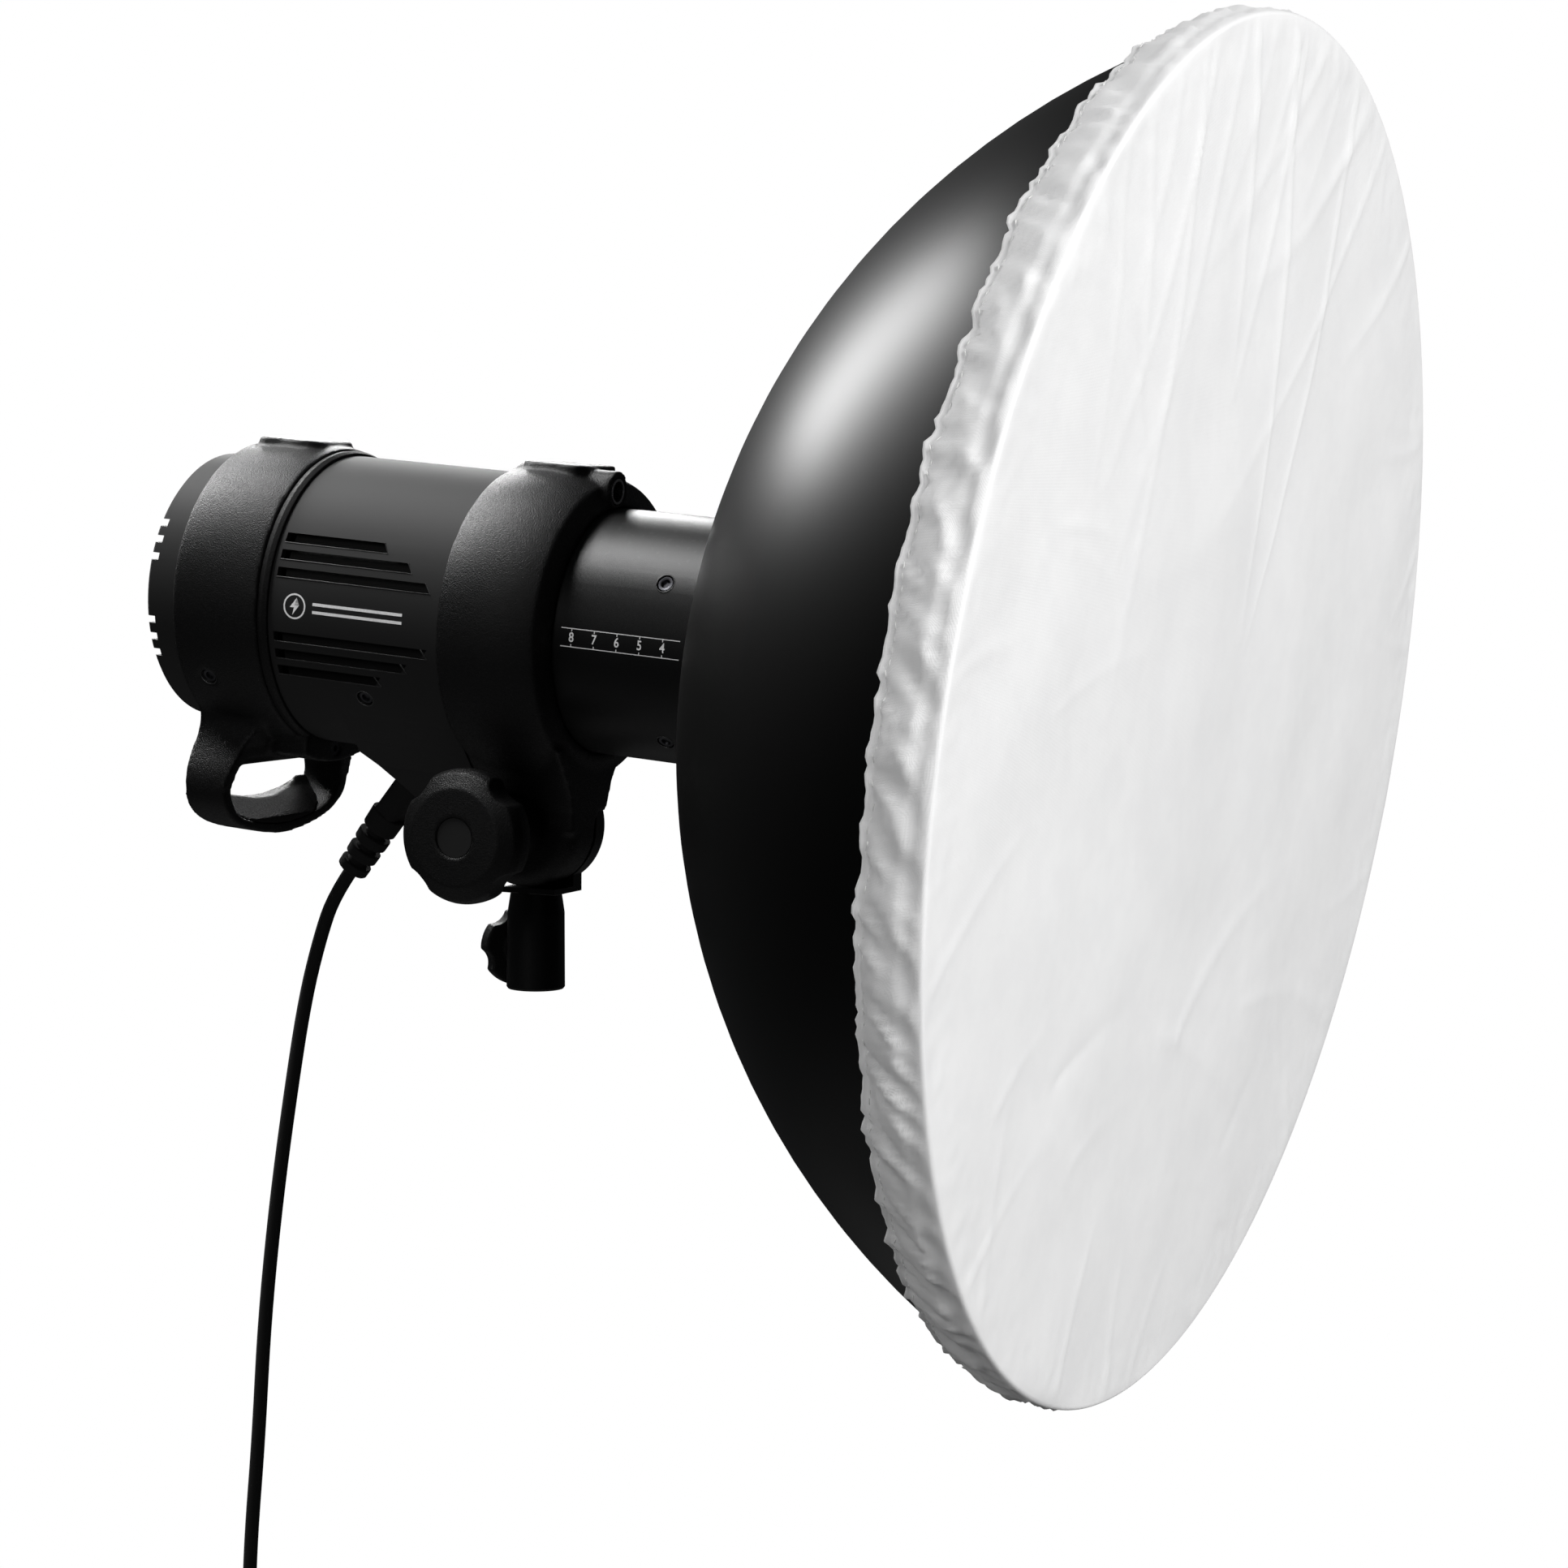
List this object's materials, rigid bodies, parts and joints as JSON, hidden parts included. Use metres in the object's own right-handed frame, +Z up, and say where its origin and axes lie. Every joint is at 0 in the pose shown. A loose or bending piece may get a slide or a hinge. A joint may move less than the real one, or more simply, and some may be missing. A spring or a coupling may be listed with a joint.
{
  "type": "monolight strobe",
  "caption": "Studio flash head on a tilting stand bracket, with a wide bowl reflector under a white cloth diffuser, a hand loop and a mains lead.",
  "frame": {"origin": "centre of the stand socket's open mouth, where the stand's spigot goes in", "axes": "+Z up along the stand, the light fires along -Y with a small nose-down tilt, the tilt knob is on the -X side"},
  "size_m": [0.5188, 0.5842, 0.8219],
  "materials": {
    "satin_casing": "satin, fine grained",
    "soft_rubber": "matte",
    "cable_rubber": "matte, smooth",
    "powder_coat": "black powder coat, fine grain",
    "black_anodised": "black anodised, satin",
    "bare_steel": "machined",
    "blacked_steel": "blackened",
    "bare_aluminium": "satin",
    "white_enamel": "white, matte",
    "white_cloth": "translucent elastic cloth",
    "clear_glass": "frosted",
    "plated_brass": "plated",
    "circuit_board": "lacquered",
    "dark_window": "glossy",
    "key_plastic": "satin grey"
  },
  "bodies": {
    "stand_bracket": {"stand_socket": "black_anodised", "bracket_arm": "black_anodised", "socket_screw": "blacked_steel", "clamp_shoe": "plated_brass", "tilt_bolt": "bare_steel", "friction_disc": "satin_casing", "tilt_washer": "bare_steel", "power_cord": "cable_rubber", "cord_coil": "cable_rubber", "coil_tie": "satin_casing", "cord_tail": "cable_rubber", "mains_plug": "cable_rubber", "plug_pins": "plated_brass"},
    "lock_knob": {"lock_knob": "satin_casing", "lock_screw": "bare_steel"},
    "tilt_knob": {"tilt_knob": "satin_casing", "tilt_knob_cap": "satin_casing"},
    "head": {"main_housing": "satin_casing", "front_bumper": "satin_casing", "bumper_crown": "satin_casing", "rear_bumper": "satin_casing", "handle_grip": "soft_rubber", "loop_screw": "blacked_steel", "seal_ring": "soft_rubber", "rear_cap": "satin_casing", "rear_panel": "satin_casing", "display_window": "dark_window", "sync_socket": "plated_brass", "fuse_holder": "satin_casing", "power_inlet": "satin_casing", "mains_connector": "soft_rubber", "strain_relief": "soft_rubber", "vent_liner": "bare_aluminium", "chassis_plate": "bare_aluminium", "capacitor_bank": "bare_aluminium", "main_board": "circuit_board", "fan_frame": "satin_casing", "front_tube": "powder_coat", "reflector_plate": "bare_aluminium", "lamp_socket": "white_enamel", "modelling_lamp": "clear_glass", "flash_tube": "clear_glass", "glass_cover": "clear_glass", "casing_screws": "blacked_steel", "tube_screws": "blacked_steel", "umbrella_sleeve": "bare_aluminium"},
    "fan": {"fan_rotor": "satin_casing"},
    "energy_dial": {"energy_dial": "satin_casing"},
    "power_rocker": {"power_rocker": "satin_casing"},
    "test_button": {"test_button": "key_plastic"},
    "lamp_button": {"lamp_button": "key_plastic"},
    "ready_button": {"ready_button": "key_plastic"},
    "slave_button": {"slave_button": "key_plastic"},
    "reflector": {"dish_shell": "powder_coat", "collar_flange": "powder_coat", "flange_rivets": "bare_steel", "rubber_collar": "soft_rubber", "deflector_disc": "white_enamel", "deflector_rods": "bare_steel", "diffuser_sock": "white_cloth"}
  },
  "joints": [
    {"name": "head_tilt", "type": "hinge", "parent": "stand_bracket", "child": "head", "pos_m": [0, 0, 0.0675], "axis": [1, 0, 0], "range_deg": [-40, 40], "deforming": ["power_cord"]},
    {"name": "tilt_knob_turn", "type": "hinge", "parent": "stand_bracket", "child": "tilt_knob", "pos_m": [0, 0, 0.0675], "axis": [-1, 0, 0], "range_deg": [0, 360]},
    {"name": "lock_knob_turn", "type": "hinge", "parent": "stand_bracket", "child": "lock_knob", "pos_m": [0, 0, 0.0145], "axis": [0.6428, 0.766, 0], "range_deg": [0, 720]},
    {"name": "reflector_slide", "type": "slide", "parent": "head", "child": "reflector", "axis": [0, -0.997, -0.0771], "range_m": [-0.06, 0.02]},
    {"name": "fan_spin", "type": "hinge", "parent": "head", "child": "fan", "pos_m": [0, 0.02556, 0.15212], "axis": [0, -0.997, -0.0771], "continuous": true},
    {"name": "energy_dial_turn", "type": "hinge", "parent": "head", "child": "energy_dial", "pos_m": [0, 0.15877, 0.1544], "axis": [0, -0.997, -0.0771], "continuous": true},
    {"name": "power_rocker_tip", "type": "hinge", "parent": "head", "child": "power_rocker", "pos_m": [0, 0.15211, 0.12379], "axis": [1, 0, 0], "range_deg": [-8, 8]},
    {"name": "test_button_press", "type": "slide", "parent": "head", "child": "test_button", "axis": [0, -0.997, -0.0771], "range_m": [0, 0.001], "stiffness_N_per_m": 300},
    {"name": "lamp_button_press", "type": "slide", "parent": "head", "child": "lamp_button", "axis": [0, -0.997, -0.0771], "range_m": [0, 0.001], "stiffness_N_per_m": 300},
    {"name": "ready_button_press", "type": "slide", "parent": "head", "child": "ready_button", "axis": [0, -0.997, -0.0771], "range_m": [0, 0.001], "stiffness_N_per_m": 300},
    {"name": "slave_button_press", "type": "slide", "parent": "head", "child": "slave_button", "axis": [0, -0.997, -0.0771], "range_m": [0, 0.001], "stiffness_N_per_m": 300}
  ]
}
